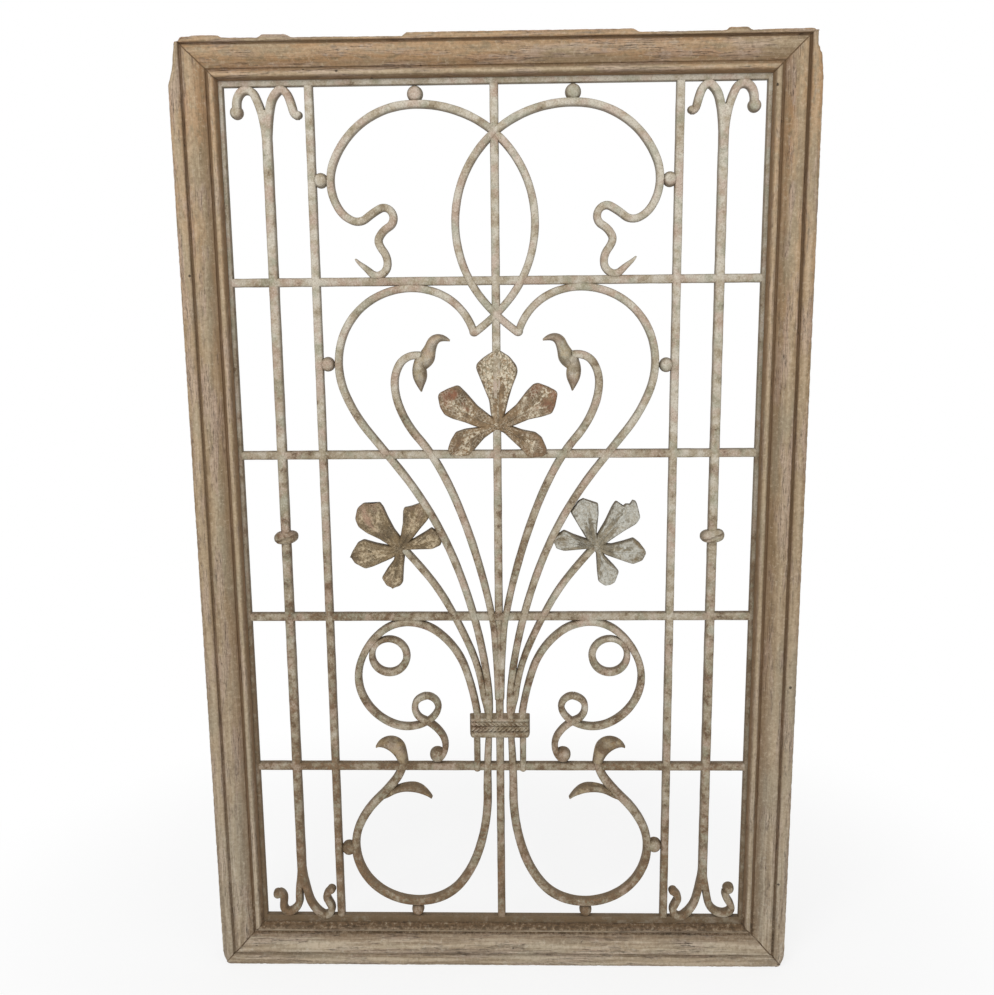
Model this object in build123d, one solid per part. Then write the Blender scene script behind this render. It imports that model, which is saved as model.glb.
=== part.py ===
"""Cast iron grille with scrolls and flowers, set in a moulded timber frame.

Millimetres. X runs across the front, Z up from the underside and the front faces -Y.
A depth is measured back from the timber's front face.
"""
import os
from math import cos, radians, sin, sqrt

from build123d import *

# Timber frame, as it was made and as it has worn
frame_width = 954
frame_height = 1505
frame_depth = 48
sight_width = 69
rebate_width = 58
lip_back = 21.7
mitre_gap = 0.3
# The broken top edge from right to left: parts of half the width, and the drop
top_wear = [
    (0.78, 13.5), (0.767, 9), (0.713, 9), (0.702, 13.5), (0.44, 14), (0.425, 9), (-0.262, 9),
    (-0.275, 14.5), (-0.612, 13.5), (-0.633, 9), (-0.702, 9), (-0.715, 13.5), (-0.83, 12.5),
    (-0.849, 9), (-0.914, 9), (-0.95, 11.5),
]

# Moulding across the timber, each width from the outer edge
band_width = 17.5
groove_end = 22.5
groove_depth = 5
cyma_top = (23.5, 1.2)
cyma_foot = (52.5, 12.5)
quirk_end = 56.5
quirk_depth = 14.5
bead_radius = 4.5
edge_round = 4

# Casting: a flat back, and fronts at different heights above it
iron_gap = 0.3
casting_thickness = 11
casting_back = lip_back + iron_gap + casting_thickness
upright_height = 12
strand_height = 13
proud_height = 14
petal_height = 15.5
side_show = 6
foot_show = 11.3
top_show = 8.6
border_clearance = 1.5

# The casting's points are drawn for an opening with this half width, foot and top, and
# stretch with the real one
drawn_opening = [402, 80.3, 1427.4]
crossbar_levels = [351.8, 610.7, 875.7, 1143]
inner_upright = 275
outer_upright = 340
bar_width = 13
outer_bar_width = 15
strand_width = 12
strand_draft = 2.5
bar_draft = 1.5
curl_width = 11
big_scroll_width = 14
petal_bevel = 3
petal_root = 10
ball_radius = 10
ball_height = 16

# Fixings
nail_half = 2
nail_head_half = 4
nail_head_depth = 1.5
corner_nail_length = 75
grille_nail_grip = 5
grille_nail_inset = rebate_width + 6.5
nail_countersink = 20
fixing_clearance = 0.15


def from_front(depth):
    """Y of a depth behind the timber's front face."""
    return depth - frame_depth / 2


# Timber

def moulding_profile():
    """Section of the moulding, drawn with width along X and depth along Y."""
    bead_centre = quirk_end + bead_radius
    bead_end = quirk_end + 2 * bead_radius
    middle = ((cyma_top[0] + cyma_foot[0]) / 2, (cyma_top[1] + cyma_foot[1]) / 2)
    lower_foot = (cyma_foot[0] - 0.5, cyma_foot[1])
    outline = Wire([
        Line((0, edge_round), (0, frame_depth)),
        Line((0, frame_depth), (rebate_width, frame_depth)),
        Line((rebate_width, frame_depth), (rebate_width, lip_back)),
        Line((rebate_width, lip_back), (sight_width, lip_back)),
        Line((sight_width, lip_back), (sight_width, lip_back - 3)),
        Line((sight_width, lip_back - 3), (bead_end, quirk_depth)),
        ThreePointArc(
            (bead_end, quirk_depth),
            (bead_centre, quirk_depth - bead_radius),
            (quirk_end, quirk_depth),
        ),
        Line((quirk_end, quirk_depth), (cyma_foot[0], quirk_depth)),
        Line((cyma_foot[0], quirk_depth), cyma_foot),
        Line(cyma_foot, lower_foot),
        TangentArc(lower_foot, middle, tangent=(-1, 0)),
        TangentArc(cyma_top, middle, tangent=(1, 0)),
        Line(cyma_top, (groove_end, cyma_top[1])),
        Line((groove_end, cyma_top[1]), (groove_end, groove_depth)),
        Line((groove_end, groove_depth), (band_width, groove_depth)),
        Line((band_width, groove_depth), (band_width, 0)),
        Line((band_width, 0), (edge_round, 0)),
        TangentArc((edge_round, 0), (0, edge_round), tangent=(-1, 0)),
    ])
    return make_face(outline)


def member(length):
    """A mitred length of moulding along X, its outer edge on Z = 0."""
    section_plane = Plane(
        origin=(-length / 2, from_front(0), 0), x_dir=(0, 0, 1), z_dir=(-1, 0, 0)
    )
    moulding = extrude(section_plane * moulding_profile(), -length)
    end = length / 2 - mitre_gap / sqrt(2)
    mitred = make_face(Polyline(
        (-end, 0),
        (end, 0),
        (end - sight_width, sight_width),
        (sight_width - end, sight_width),
        close=True,
    ))
    return moulding & extrude(Plane.XZ * mitred, frame_depth, both=True)


def worn_outline():
    """What is left of the frame's oblong, its corners rounded and its top edge broken."""
    side = frame_width / 2
    top = frame_height
    return Polyline(
        (-side, 14), (-side + 3, 5), (-side + 11, 0), (side - 13, 0), (side - 4, 5), (side, 16),
        (side, top - 50), (side - 3, top - 37), (side - 15, top - 14),
        *[(part * side, top - drop) for part, drop in top_wear],
        (-side + 21, top - 17), (-side + 14, top - 17), (-side + 7, top - 47), (-side, top - 77),
        close=True,
    )


def timber_members():
    """The four members, with edges and corners worn away."""
    kept = extrude(Plane.XZ * make_face(worn_outline()), frame_depth, both=True)
    half_width = frame_width / 2
    half_height = frame_height / 2
    rail = member(frame_width)
    stile = member(frame_height)
    return {
        "bottom_rail": rail & kept,
        "top_rail": Pos(0, 0, frame_height) * Rot(0, 180, 0) * rail & kept,
        "left_stile": Pos(-half_width, 0, half_height) * Rot(0, 90, 0) * stile & kept,
        "right_stile": Pos(half_width, 0, half_height) * Rot(0, -90, 0) * stile & kept,
    }


# Casting, drawn flat: X across, Y up the grille, Z forward from the flat back

daylight_half = frame_width / 2 - sight_width - side_show
daylight_low = sight_width + foot_show
daylight_high = frame_height - sight_width - top_show
drawn_half, drawn_low, drawn_high = drawn_opening
stretch_x = daylight_half / drawn_half
stretch_y = (daylight_high - daylight_low) / (drawn_high - drawn_low)


def place(x, y):
    """Where a drawn point falls in the opening."""
    return Vector(x * stretch_x, daylight_low + (y - drawn_low) * stretch_y)


def arc_to(start, direction, end):
    """An arc that leaves start along direction and reaches end, and its direction there."""
    chord = (end - start).normalized()
    arrival = chord * (2 * chord.dot(direction)) - direction
    if chord.cross(direction).length < 1e-4:
        return Line(start, end), arrival
    return TangentArc(start, end, tangent=direction), arrival


def smooth_path(knots):
    """Two tangent arcs between each pair of knots; a knot is x, y and heading in degrees."""
    points = [place(x, y) for x, y, heading in knots]
    headings = [
        Vector(stretch_x * cos(radians(heading)), stretch_y * sin(radians(heading))).normalized()
        for x, y, heading in knots
    ]
    edges = []
    for start, leave, end, arrive in zip(points, headings, points[1:], headings[1:]):
        chord = end - start
        along = chord.dot(leave + arrive)
        turn = 2 * (1 - leave.dot(arrive))
        reach = chord.dot(chord) / (2 * along) if turn < 1e-6 else (
            (sqrt(along**2 + turn * chord.dot(chord)) - along) / turn
        )
        joint = (start + end + (leave - arrive) * reach) / 2
        first_arc, direction = arc_to(start, leave, joint)
        second_arc, direction = arc_to(joint, direction, end)
        edges += [first_arc, second_arc]
    return Wire(edges)


def bar_along(path, width, height, draft):
    """A cast bar along a path: flat at the back, and narrower by the draft at each front edge."""
    across = width / 2
    plane = Plane(origin=path @ 0, x_dir=(0, 0, 1), z_dir=path % 0)
    section = make_face(Polyline(
        (0, -across), (height, draft - across), (height, across - draft), (0, across), close=True
    ))
    return sweep(plane * section, path)


def straight(start, end, width=bar_width, height=casting_thickness, draft=bar_draft):
    return bar_along(Wire([Line(place(*start), place(*end))]), width, height, draft)


def strand(knots, width=strand_width, height=strand_height, draft=strand_draft):
    return bar_along(smooth_path(knots), width, height, draft)


def raised(outline, height, edge):
    """A flat-backed piece from an outline, its front edge bevelled."""
    body = extrude(outline, height)
    rim = body.faces().sort_by(Axis.Z)[-1].edges()
    return chamfer(rim, edge)


def block(x, y, width, tall, corner, height, edge):
    """A raised oblong with its corners cut."""
    oblong = Pos(*place(x, y)) * Rectangle(width, tall)
    return raised(chamfer(oblong.vertices(), corner), height, edge)


def ball(x, y, radius=ball_radius, height=ball_height):
    """A cast ball with a flat back, as a bevelled round boss that grows with the drawing."""
    grown = radius * max(stretch_x, stretch_y)
    return raised(Pos(*place(x, y)) * RegularPolygon(grown, 10), height, 0.45 * radius)


def border():
    """The flat edge bar, the part that sits in the timber's rebate."""
    low = rebate_width + border_clearance
    high = frame_height - low
    half = frame_width / 2 - low
    outer = Pos(0, (low + high) / 2) * Rectangle(2 * half, high - low)
    inner = Pos(0, (daylight_low + daylight_high) / 2) * Rectangle(
        2 * daylight_half, daylight_high - daylight_low
    )
    return extrude(outer - inner, casting_thickness)


def bars():
    """Crossbars and uprights; the uprights stand a little forward."""
    made = [
        straight((-drawn_half - 1, level), (drawn_half + 1, level))
        for level in crossbar_levels
    ]
    low = drawn_low - 1
    high = drawn_high + 1
    for x in (-inner_upright, 0, inner_upright):
        made.append(straight((x, low), (x, high), height=upright_height))
    for x in (-outer_upright, outer_upright):
        made.append(straight((x, 132), (x, 1394), outer_bar_width, upright_height, 4.5))
        made.append(knop(x))
    return made


def knop(x):
    """A rounded collar half way up an outer upright."""
    return block(x, 739, 38, 20, 6, 16, 4) + block(x, 739, 40, 5, 1.5, 18, 1.2)


# The right-hand half. The scroll's bar crosses to the left at the top of the oval and
# comes back at its foot.
scroll_and_oval = [
    (203, 1169, -142), (176, 1153, 158), (171, 1189, 52), (176, 1209, 118), (154, 1240, 79),
    (174, 1251, -28), (216, 1234, 22), (245, 1272, 76), (213, 1362, 135), (43, 1386, -157),
    (-20, 1114, -51), (34, 1064, -36),
]
heart = [
    (34, 1063, 75), (192, 1115, -32), (236, 971, -112), (157, 855, -128), (20, 503, -97),
    (17, 448, -89),
]
bud_stem = [
    (117, 1024, 18), (152, 1012, -60), (153, 953, -109), (90, 852, -118), (40, 727, -107),
    (4, 588, -112),
]
flower_stem = [(156, 729, -132), (84, 634, -119), (28, 481, -96), (27, 448, -88)]
small_scroll = [
    (37, 444, 82), (99, 584, 38), (191, 585, -40), (225, 475, -113), (116, 433, 146),
    (104, 466, 58), (121, 475, -4),
]
small_scroll_end = [(121, 475, -11), (139, 461, -74), (97, 410, -124), (99, 367, -47)]
big_scroll = [
    (18, 410, -86), (38, 197, -72), (113, 110, -16), (245, 195, 83), (205, 293, 135),
    (161, 362, 97),
]
# Measured across from the outer upright, for the room on each side of it that is drawn here
curl_room = [62, 65]
curls = [
    [(0, 1378, 85), (37, 1416, -48), (43, 1399, -96)],
    [(0, 1378, 91), (-20, 1419, 141), (-34, 1416, -121), (-52, 1388, 168)],
    [(0, 142, -81), (25, 84, -25), (41, 96, 101), (40, 121, 32)],
    [(0, 142, -98), (-27, 85, -147), (-48, 96, 68), (-51, 131, 166)],
]
curl_ends = [(44, 1392, 9.5), (44, 120, 10)]
scroll_tip = [(196, 1171), (205, 1162), (215, 1176)]
heart_corner = [(24, 1068), (31, 1076), (41, 1070), (36, 1058)]
spacer_balls = [
    (117, 1415, 13), (inner_upright - 13, 1289), (inner_upright - 13, 1018), (143, 90),
]

# Leaves and bud lobes: the edge from the stalk out to the point, and the edge back
leaves = [
    ([(152, 350, 88), (180, 407, 0), (205, 387, -62)], [(205, 387, 176), (171, 356, -92)]),
    ([(176, 316, 158), (147, 323, 180), (115, 295, -120)], [(115, 295, 32), (197, 291, -28)]),
]
bud_lobes = [
    (
        [(121, 1035, 124), (92, 1062, 180), (74, 1053, -125)],
        [(74, 1053, 8), (96, 1040, -80), (111, 1012, -42)],
    ),
    ([(131, 1022, -78), (134, 995, -98), (122, 975, -140)], [(122, 975, 105), (111, 1013, 92)]),
]


def leaf(edge_out, edge_back, height):
    """A leaf from its two curved edges, closed across the stalk."""
    stalk = Line(place(*edge_back[-1][:2]), place(*edge_out[0][:2]))
    edges = smooth_path(edge_out).edges() + smooth_path(edge_back).edges() + [stalk]
    return extrude(make_face(Wire(edges)), height)


def ring():
    """The ring that hangs in the small scroll, wider at its foot."""
    rim = Circle(35)
    hole = Pos(0, 1.5) * Circle(22)
    return Pos(*place(179.5, 543.5)) * extrude(rim - hole, strand_height)


def patch(corners, height):
    return extrude(make_face(Polyline(*[place(*corner) for corner in corners], close=True)), height)


def from_upright(knots):
    """Knots or round ends set off from the outer upright, to fill the room beside it."""
    outside = (drawn_half - outer_upright) / curl_room[0]
    inside = (outer_upright - inner_upright) / curl_room[1]
    return [(outer_upright + x * (outside if x > 0 else inside), *rest) for x, *rest in knots]


def right_half():
    """Everything that the left half repeats as a mirror image, except the scroll and oval."""
    made = [
        strand(heart),
        strand(bud_stem, curl_width),
        strand(flower_stem, curl_width),
        strand(small_scroll),
        strand(small_scroll_end, height=proud_height),
        strand(big_scroll, big_scroll_width),
        straight((38, 344), (38, 408), height=strand_height),
        ring(),
        patch(scroll_tip, strand_height - 2),
        patch(heart_corner, strand_height),
        ball(104, 372, 13),
        block(inner_upright - 18, 215, 20, 24, 6, ball_height, 4),
    ]
    made += [strand(from_upright(knots), curl_width, draft=0) for knots in curls]
    made += [ball(*spot) for spot in from_upright(curl_ends) + spacer_balls]
    made += [leaf(*edges, strand_height + 1) for edges in leaves]
    made += [leaf(*edges, strand_height + 3) for edges in bud_lobes]
    return made


# Half of a petal's outline: parts of its length and of its width
petal_edge = [(0.55, 0.37), (0.8, 0.5), (0.93, 0.45), (1, 0.28)]


def petal(centre, angle, length, width):
    """A petal that widens from its root to a slightly hollow end, with a raised midrib."""
    near = [(along * length, across * width) for along, across in petal_edge]
    far = [(along, -across) for along, across in reversed(near)]
    outline = [(0, petal_root), *near, (0.97 * length, 0), *far, (0, -petal_root)]
    body = raised(make_face(Polyline(*outline, close=True)), petal_height - 2.5, petal_bevel)
    rib = make_face(Polyline((0, -5), (0.72 * length, 0), (0, 5), close=True))
    return Pos(*place(*centre)) * Rot(0, 0, angle) * (body + extrude(rib, petal_height, taper=12))


centre_flower = [(148, 99, 50), (32, 102, 52), (212, 86, 46), (-33, 90, 46)]
left_flower = [(129, 89, 47), (189, 80, 47), (255, 66, 35), (15, 67, 35), (66, 77, 41)]
right_flower = [(52, 86, 46), (-8.5, 80, 44), (-68, 67, 36), (171, 69, 36), (102, 77, 41)]


def top_petal():
    """The centre flower's tall petal, its end drawn up to the bar."""
    outline = [
        (-petal_root, 3), (-13, 33), (-31, 80), (-33, 90), (-25, 102), (0, 118),
        (22, 105), (32, 92), (33, 83), (15, 33), (petal_root, 3),
    ]
    body = raised(make_face(Polyline(*outline, close=True)), petal_height - 2.5, petal_bevel)
    rib = make_face(Polyline((-5, 3), (5, 3), (0, 90), close=True))
    return Pos(*place(0, 922)) * (body + extrude(rib, petal_height, taper=12))


def flowers():
    """Three flowers; each has petals that fan out from a small boss."""
    made = [top_petal()]
    for centre, petals in (
        ((0, 922), centre_flower),
        ((-159, 726), left_flower),
        ((156, 727), right_flower),
    ):
        made += [petal(centre, *sizes) for sizes in petals]
        made.append(ball(*centre, 11, petal_height + 1))
    return made


def band():
    """The tie round the stems: a smooth collar over three beads."""
    return [
        block(0, 440, 98, 18, 5, 15, 2.5),
        block(0, 431, 101, 9, 3, 18, 2.2),
        block(0, 422, 101, 11, 3, 17, 2.2),
        block(0, 411, 98, 14, 4, 19, 3),
    ]


def casting():
    """The whole grille as one piece of iron; the right-hand scroll crosses in front."""
    half = right_half()
    pieces = bars() + flowers() + band() + half
    pieces += [mirror(piece, about=Plane.YZ) for piece in half]
    pieces.append(strand(scroll_and_oval, height=proud_height))
    pieces.append(mirror(strand(scroll_and_oval), about=Plane.YZ))
    return border().fuse(*pieces)


# Fixings

def nail(length, clearance=0.0, cover=0.0):
    """A cut nail along +X with its head at X = 0; cover is the open hole behind the head."""
    head = nail_head_half + clearance
    shank = nail_half + clearance
    end = length + clearance
    side_view = Polyline(
        (-cover, -head), (nail_head_depth, -head), (nail_head_depth, -shank), (end, -shank / 2),
        (end, shank / 2), (nail_head_depth, shank), (nail_head_depth, head), (-cover, head),
        close=True,
    )
    return extrude(make_face(side_view), shank, both=True)


def corner_nail_places():
    """Two nails through each end of each stile into the rail, heads just below the surface."""
    places = []
    half = frame_width / 2
    for level, head in ((30, half - 2), (frame_height - 30, half - 13)):
        for depth in (frame_depth - 19, frame_depth - 8):
            places.append(Pos(-head, from_front(depth), level))
            places.append(Pos(head, from_front(depth), level) * Rot(0, 0, 180))
    return places


def grille_nail_places():
    """Nails from behind through the edge bar: four up each side, one at the top and foot."""
    across = frame_width / 2 - grille_nail_inset
    levels = [0.1 * frame_height, 0.37 * frame_height, 0.63 * frame_height, 0.9 * frame_height]
    spots = [(x, z) for x in (-across, across) for z in levels]
    spots += [(0, grille_nail_inset), (0, frame_height - grille_nail_inset)]
    return [Pos(x, from_front(casting_back), z) * Rot(0, 0, -90) for x, z in spots]


def one_node(solids):
    return Compound(children=[solid.solid() for solid in solids])


os.makedirs("parts", exist_ok=True)
back_plane = Plane(origin=(0, from_front(casting_back), 0), x_dir=(1, 0, 0), z_dir=(0, -1, 0))
grille_nail_length = casting_thickness + grille_nail_grip
fixings = {
    "corner_nails": (corner_nail_places(), corner_nail_length),
    "grille_nails": (grille_nail_places(), grille_nail_length),
}
grille_holes = [place * nail(grille_nail_length, fixing_clearance) for place in grille_nail_places()]
corner_holes = [
    place * nail(corner_nail_length, fixing_clearance, nail_countersink) for place in corner_nail_places()
]

nodes = {"iron_grille": back_plane * casting() - grille_holes}
for name, timber in timber_members().items():
    nodes[name] = timber - grille_holes - corner_holes
for name, (places, length) in fixings.items():
    nodes[name] = one_node(place * nail(length) for place in places)

for name, shape in nodes.items():
    export_step(shape, f"parts/{name}.step")
    print(name, len(shape.solids()), "solids,", round(shape.volume / 1000, 1), "cm3")
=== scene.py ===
# %% [markdown]
# # A cast iron grille in a weathered timber frame
# The real panel is one thin iron casting, painted long ago, that sits in a moulded timber frame.
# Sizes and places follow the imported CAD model. This script dresses it: it replaces the plain bars
# with rounded, slightly uneven ones, gives the petals their veins and the timber its wear, and
# mixes the old finishes. Lengths are millimetres until a mesh is made, and metres from there on.

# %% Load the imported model
from math import pi, radians

import bpy
import numpy as np
from mathutils import Matrix, Vector


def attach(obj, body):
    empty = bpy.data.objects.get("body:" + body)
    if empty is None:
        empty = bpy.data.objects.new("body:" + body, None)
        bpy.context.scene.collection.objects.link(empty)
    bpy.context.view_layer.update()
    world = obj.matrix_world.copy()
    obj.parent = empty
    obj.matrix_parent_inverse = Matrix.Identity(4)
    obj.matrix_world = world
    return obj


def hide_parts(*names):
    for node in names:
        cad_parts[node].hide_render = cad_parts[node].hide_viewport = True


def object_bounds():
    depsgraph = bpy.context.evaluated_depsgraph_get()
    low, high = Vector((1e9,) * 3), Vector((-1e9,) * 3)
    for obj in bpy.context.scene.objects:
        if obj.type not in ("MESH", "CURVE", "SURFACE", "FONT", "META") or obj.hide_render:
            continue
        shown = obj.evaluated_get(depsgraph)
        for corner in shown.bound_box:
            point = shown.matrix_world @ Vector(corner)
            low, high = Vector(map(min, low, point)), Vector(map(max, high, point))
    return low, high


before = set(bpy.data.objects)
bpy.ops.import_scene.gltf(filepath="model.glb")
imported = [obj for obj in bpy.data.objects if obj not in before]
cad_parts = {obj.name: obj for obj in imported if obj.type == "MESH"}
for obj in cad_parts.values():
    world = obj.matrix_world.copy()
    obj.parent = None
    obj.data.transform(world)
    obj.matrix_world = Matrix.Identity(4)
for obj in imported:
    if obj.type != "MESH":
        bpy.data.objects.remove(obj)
cad_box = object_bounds()
print("nodes:", sorted(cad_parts))

# %% [markdown]
# ## Surfaces from rings
# Nearly every piece here is a section carried along a line: a bar, a petal from its root to its
# tip, a length of moulding. So one helper joins a stack of rings into a closed skin. It could be
# done with curve objects and a bevel, but rings as one numpy array let the section change along
# the line, and they carry values for the finish with them.

# %% Closed skins
low_corner, high_corner = np.round(1000 * np.array(cad_box))
HALF_WIDTH = high_corner[0]
DEPTH_OF_FRAME = high_corner[1] - low_corner[1]
print("millimetres across and deep:", 2 * HALF_WIDTH, DEPTH_OF_FRAME)


def volume(points, faces):
    """Sum of corner . (corner x corner) / 6 over fans of triangles; above 0 if faces look out."""
    fans = [points[face] for face in faces]
    return sum(
        float(np.sum(fan[:, :1] * np.cross(fan[:, 1:-1], fan[:, 2:]))) / 6 for fan in fans
    )


def skin(rings, loop=False, **marks):
    """Joins each ring of points to the next, and fills the first and last unless they loop."""
    count, around = rings.shape[:2]
    index = np.arange(count * around).reshape(count, around)
    here = index if loop else index[:-1]
    after = np.roll(index, -1, 0) if loop else index[1:]
    quads = np.stack([here, np.roll(here, -1, 1), np.roll(after, -1, 1), after], -1)
    faces = [quads.reshape(-1, 4)]
    if not loop:
        faces += [index[:1, ::-1], index[-1:]]
    points = rings.reshape(-1, 3)
    if volume(points, faces) < 0:
        faces = [face[:, ::-1] for face in faces]
    marks = {name: np.reshape(mark, (len(points), -1)) for name, mark in marks.items()}
    return points, faces, marks


# %% One object from many skins
def make_piece(name, shells, finish, node="iron_grille", crease=50):
    """One object from several skins; a point is across, depth behind the front, and height.
    It stands for the CAD node, which is hidden."""
    starts = np.cumsum([0] + [len(points) for points, faces, marks in shells])
    points = np.concatenate([points for points, faces, marks in shells])
    points = (points - (0, DEPTH_OF_FRAME / 2, 0)) / 1000
    faces = [face + start for shell, start in zip(shells, starts) for face in shell[1]]
    sides = np.concatenate([np.full(len(face), face.shape[1]) for face in faces])
    mesh = bpy.data.meshes.new(name)
    mesh.vertices.add(len(points))
    mesh.vertices.foreach_set("co", points.ravel())
    mesh.loops.add(int(sides.sum()))
    mesh.loops.foreach_set("vertex_index", np.concatenate([face.ravel() for face in faces]))
    mesh.polygons.add(len(sides))
    mesh.polygons.foreach_set("loop_start", np.cumsum(sides) - sides)
    mesh.update(calc_edges=True)
    widths = {mark: values.shape[1] for shell in shells for mark, values in shell[2].items()}
    for mark, width in widths.items():
        values = [shell[2].get(mark, np.zeros((len(shell[0]), width))) for shell in shells]
        kind, field = ("FLOAT", "value") if width == 1 else ("FLOAT_VECTOR", "vector")
        layer = mesh.attributes.new(mark, kind, "POINT").data
        layer.foreach_set(field, np.concatenate(values).ravel())
    mesh.shade_smooth()
    mesh.set_sharp_from_angle(angle=radians(crease))
    mesh.materials.append(finish)
    piece = bpy.data.objects.new(name, mesh)
    bpy.context.collection.objects.link(piece)
    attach(piece, "root")
    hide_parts(node)
    filled = sum(volume(points, faces) for points, faces, marks in shells)
    print(name, len(sides), "faces,", round(filled / 1000), "cm3")


# %% Waves and bells
def bell(distance, middle, width):
    """1 at the middle and falling to both sides: e^-((distance - middle) / width)^2."""
    return np.exp(-(((distance - middle) / width) ** 2))


def waver(distance, seed, longest=90.0):
    """A smooth random wave: five sines, each shorter and lower than the last."""
    chance = np.random.default_rng(seed)
    lengths = longest * 0.6 ** np.arange(5) * chance.uniform(0.8, 1.2, 5)
    phases = chance.uniform(0, 2 * pi, 5)
    heights = 0.7 ** np.arange(5)
    waves = np.sin(2 * pi * distance[..., None] / lengths + phases) * heights
    return waves.sum(-1) / heights.sum()


# %% [markdown]
# ## Shader sums
# A finish is worked out with a lot of arithmetic on noise. Written node by node that is long and
# hard to read, so a small class lets a socket be added, multiplied and raised like a number.

# %% Signals
class Signal:
    """An output socket; each sum or product on it adds the Math node that works it out."""

    def __init__(self, finish, socket):
        self.finish = finish
        self.socket = socket

    def sum(self, operation, *values):
        return self.finish.node("ShaderNodeMath", {"operation": operation}, dict(enumerate(values)))

    def __add__(self, other):
        return self.sum("ADD", self, other)

    def __sub__(self, other):
        return self.sum("SUBTRACT", self, other)

    def __rsub__(self, other):
        return self.sum("SUBTRACT", other, self)

    def __mul__(self, other):
        return self.sum("MULTIPLY", self, other)

    def __pow__(self, power):
        return self.sum("POWER", self, power)

    def __abs__(self):
        return self.sum("ABSOLUTE", self)

    __radd__ = __add__
    __rmul__ = __mul__

    def above(self, low, high):
        """0 up to low, 1 from high on, and a smooth step between."""
        return self.finish.node(
            "ShaderNodeMapRange",
            {"interpolation_type": "SMOOTHSTEP"},
            {"Value": self, "From Min": low, "From Max": high},
        )


# %% Finishes
class Finish:
    """A material, or a world, and the nodes that make it."""

    def __init__(self, name, kind="materials"):
        self.owner = getattr(bpy.data, kind).new(name)
        self.owner.use_nodes = True
        self.tree = self.owner.node_tree

    def node(self, kind, settings=None, sockets=None, output=0):
        """Any node: its settings first, then numbers, colours or signals for its sockets."""
        made = self.tree.nodes.new(kind)
        for name, value in (settings or {}).items():
            setattr(made, name, value)
        for name, value in (sockets or {}).items():
            self.feed(made.inputs[name], value)
        return Signal(self, made.outputs[output])

    def feed(self, socket, value):
        if isinstance(value, Signal):
            self.tree.links.new(value.socket, socket)
        elif socket.type == "RGBA":
            socket.default_value = tone(*value)
        else:
            socket.default_value = value

    def noise(self, scale, where, detail=4.0, rough=0.55, output="Fac"):
        sockets = {"Vector": where, "Scale": scale, "Detail": detail, "Roughness": rough}
        return self.node("ShaderNodeTexNoise", None, sockets, output)

    def cells(self, scale, where, feature="DISTANCE_TO_EDGE"):
        """Distance to the border between cells, or to their middles with feature F1."""
        sockets = {"Vector": where, "Scale": scale}
        return self.node("ShaderNodeTexVoronoi", {"feature": feature}, sockets, "Distance")

    def warped(self, where, scale, amount):
        """The place moved by a noise colour times an amount, so that straight lines wander."""
        drift = self.noise(scale, where, 2, output="Color")
        settings = {"operation": "MULTIPLY_ADD"}
        return self.node("ShaderNodeVectorMath", settings, {0: drift, 1: (amount,) * 3, 2: where})

    def part_of(self, where, axis):
        return self.node("ShaderNodeSeparateXYZ", None, {0: where}, output=axis)

    def ramp(self, signal, *stops):
        """The signal as a colour, from stops that give a position and the colour there."""
        colours = self.node("ShaderNodeValToRGB", None, {0: signal})
        elements = colours.socket.node.color_ramp.elements
        while len(elements) < len(stops):
            elements.new(0.5)
        for element, (position, colour) in zip(elements, stops):
            element.position = position
            element.color = tone(*colour)
        return colours

    def mix(self, share, under, over):
        """Over laid on under."""
        settings = {"data_type": "RGBA"}
        return self.node("ShaderNodeMix", settings, {0: share, 6: under, 7: over}, output=2)

    def coats(self, base, *layers):
        """Colours laid on a base one after the other, each with its share."""
        for share, colour in layers:
            base = self.mix(share, base, colour)
        return base

    def stretch(self, where, scales):
        settings = {"operation": "MULTIPLY"}
        return self.node("ShaderNodeVectorMath", settings, {0: where, 1: scales})

    def mark(self, name, output="Fac"):
        return self.node("ShaderNodeAttribute", {"attribute_name": name}, output=output)

    def place(self):
        return self.node("ShaderNodeTexCoord", output="Object")

    def seen(self):
        """1 where the camera looks, or a reflection, and 0 where light only passes."""
        camera, glossy = [
            self.node("ShaderNodeLightPath", output=f"Is {kind} Ray")
            for kind in ("Camera", "Glossy")
        ]
        return (camera + glossy).above(0, 1)

    def surface(self, share, under, over):
        """Two shaders mixed into the output, for what isn't made of the usual one."""
        blend = self.node("ShaderNodeMixShader", None, {0: share, 1: under, 2: over})
        output = next(node for node in self.tree.nodes if node.type.startswith("OUTPUT"))
        self.feed(output.inputs["Surface"], blend)

    def done(self, colour, roughness, height, deep):
        """The material, with its colour, its roughness and a bump that is so many metres deep."""
        sockets = {"Height": height, "Distance": deep, "Strength": 1.0}
        bump = self.node("ShaderNodeBump", None, sockets)
        shader = self.tree.nodes["Principled BSDF"]
        for name, value in {"Base Color": colour, "Roughness": roughness, "Normal": bump}.items():
            self.feed(shader.inputs[name], value)
        return self.owner


# %% Tones
def tone(red, green, blue):
    """A colour as it shows on a screen, 0 to 255, turned into the linear values of a shader."""
    share = np.array([red, green, blue]) / 255
    linear = np.where(share > 0.04045, ((share + 0.055) / 1.055) ** 2.4, share / 12.92)
    return (*linear.tolist(), 1.0)
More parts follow.
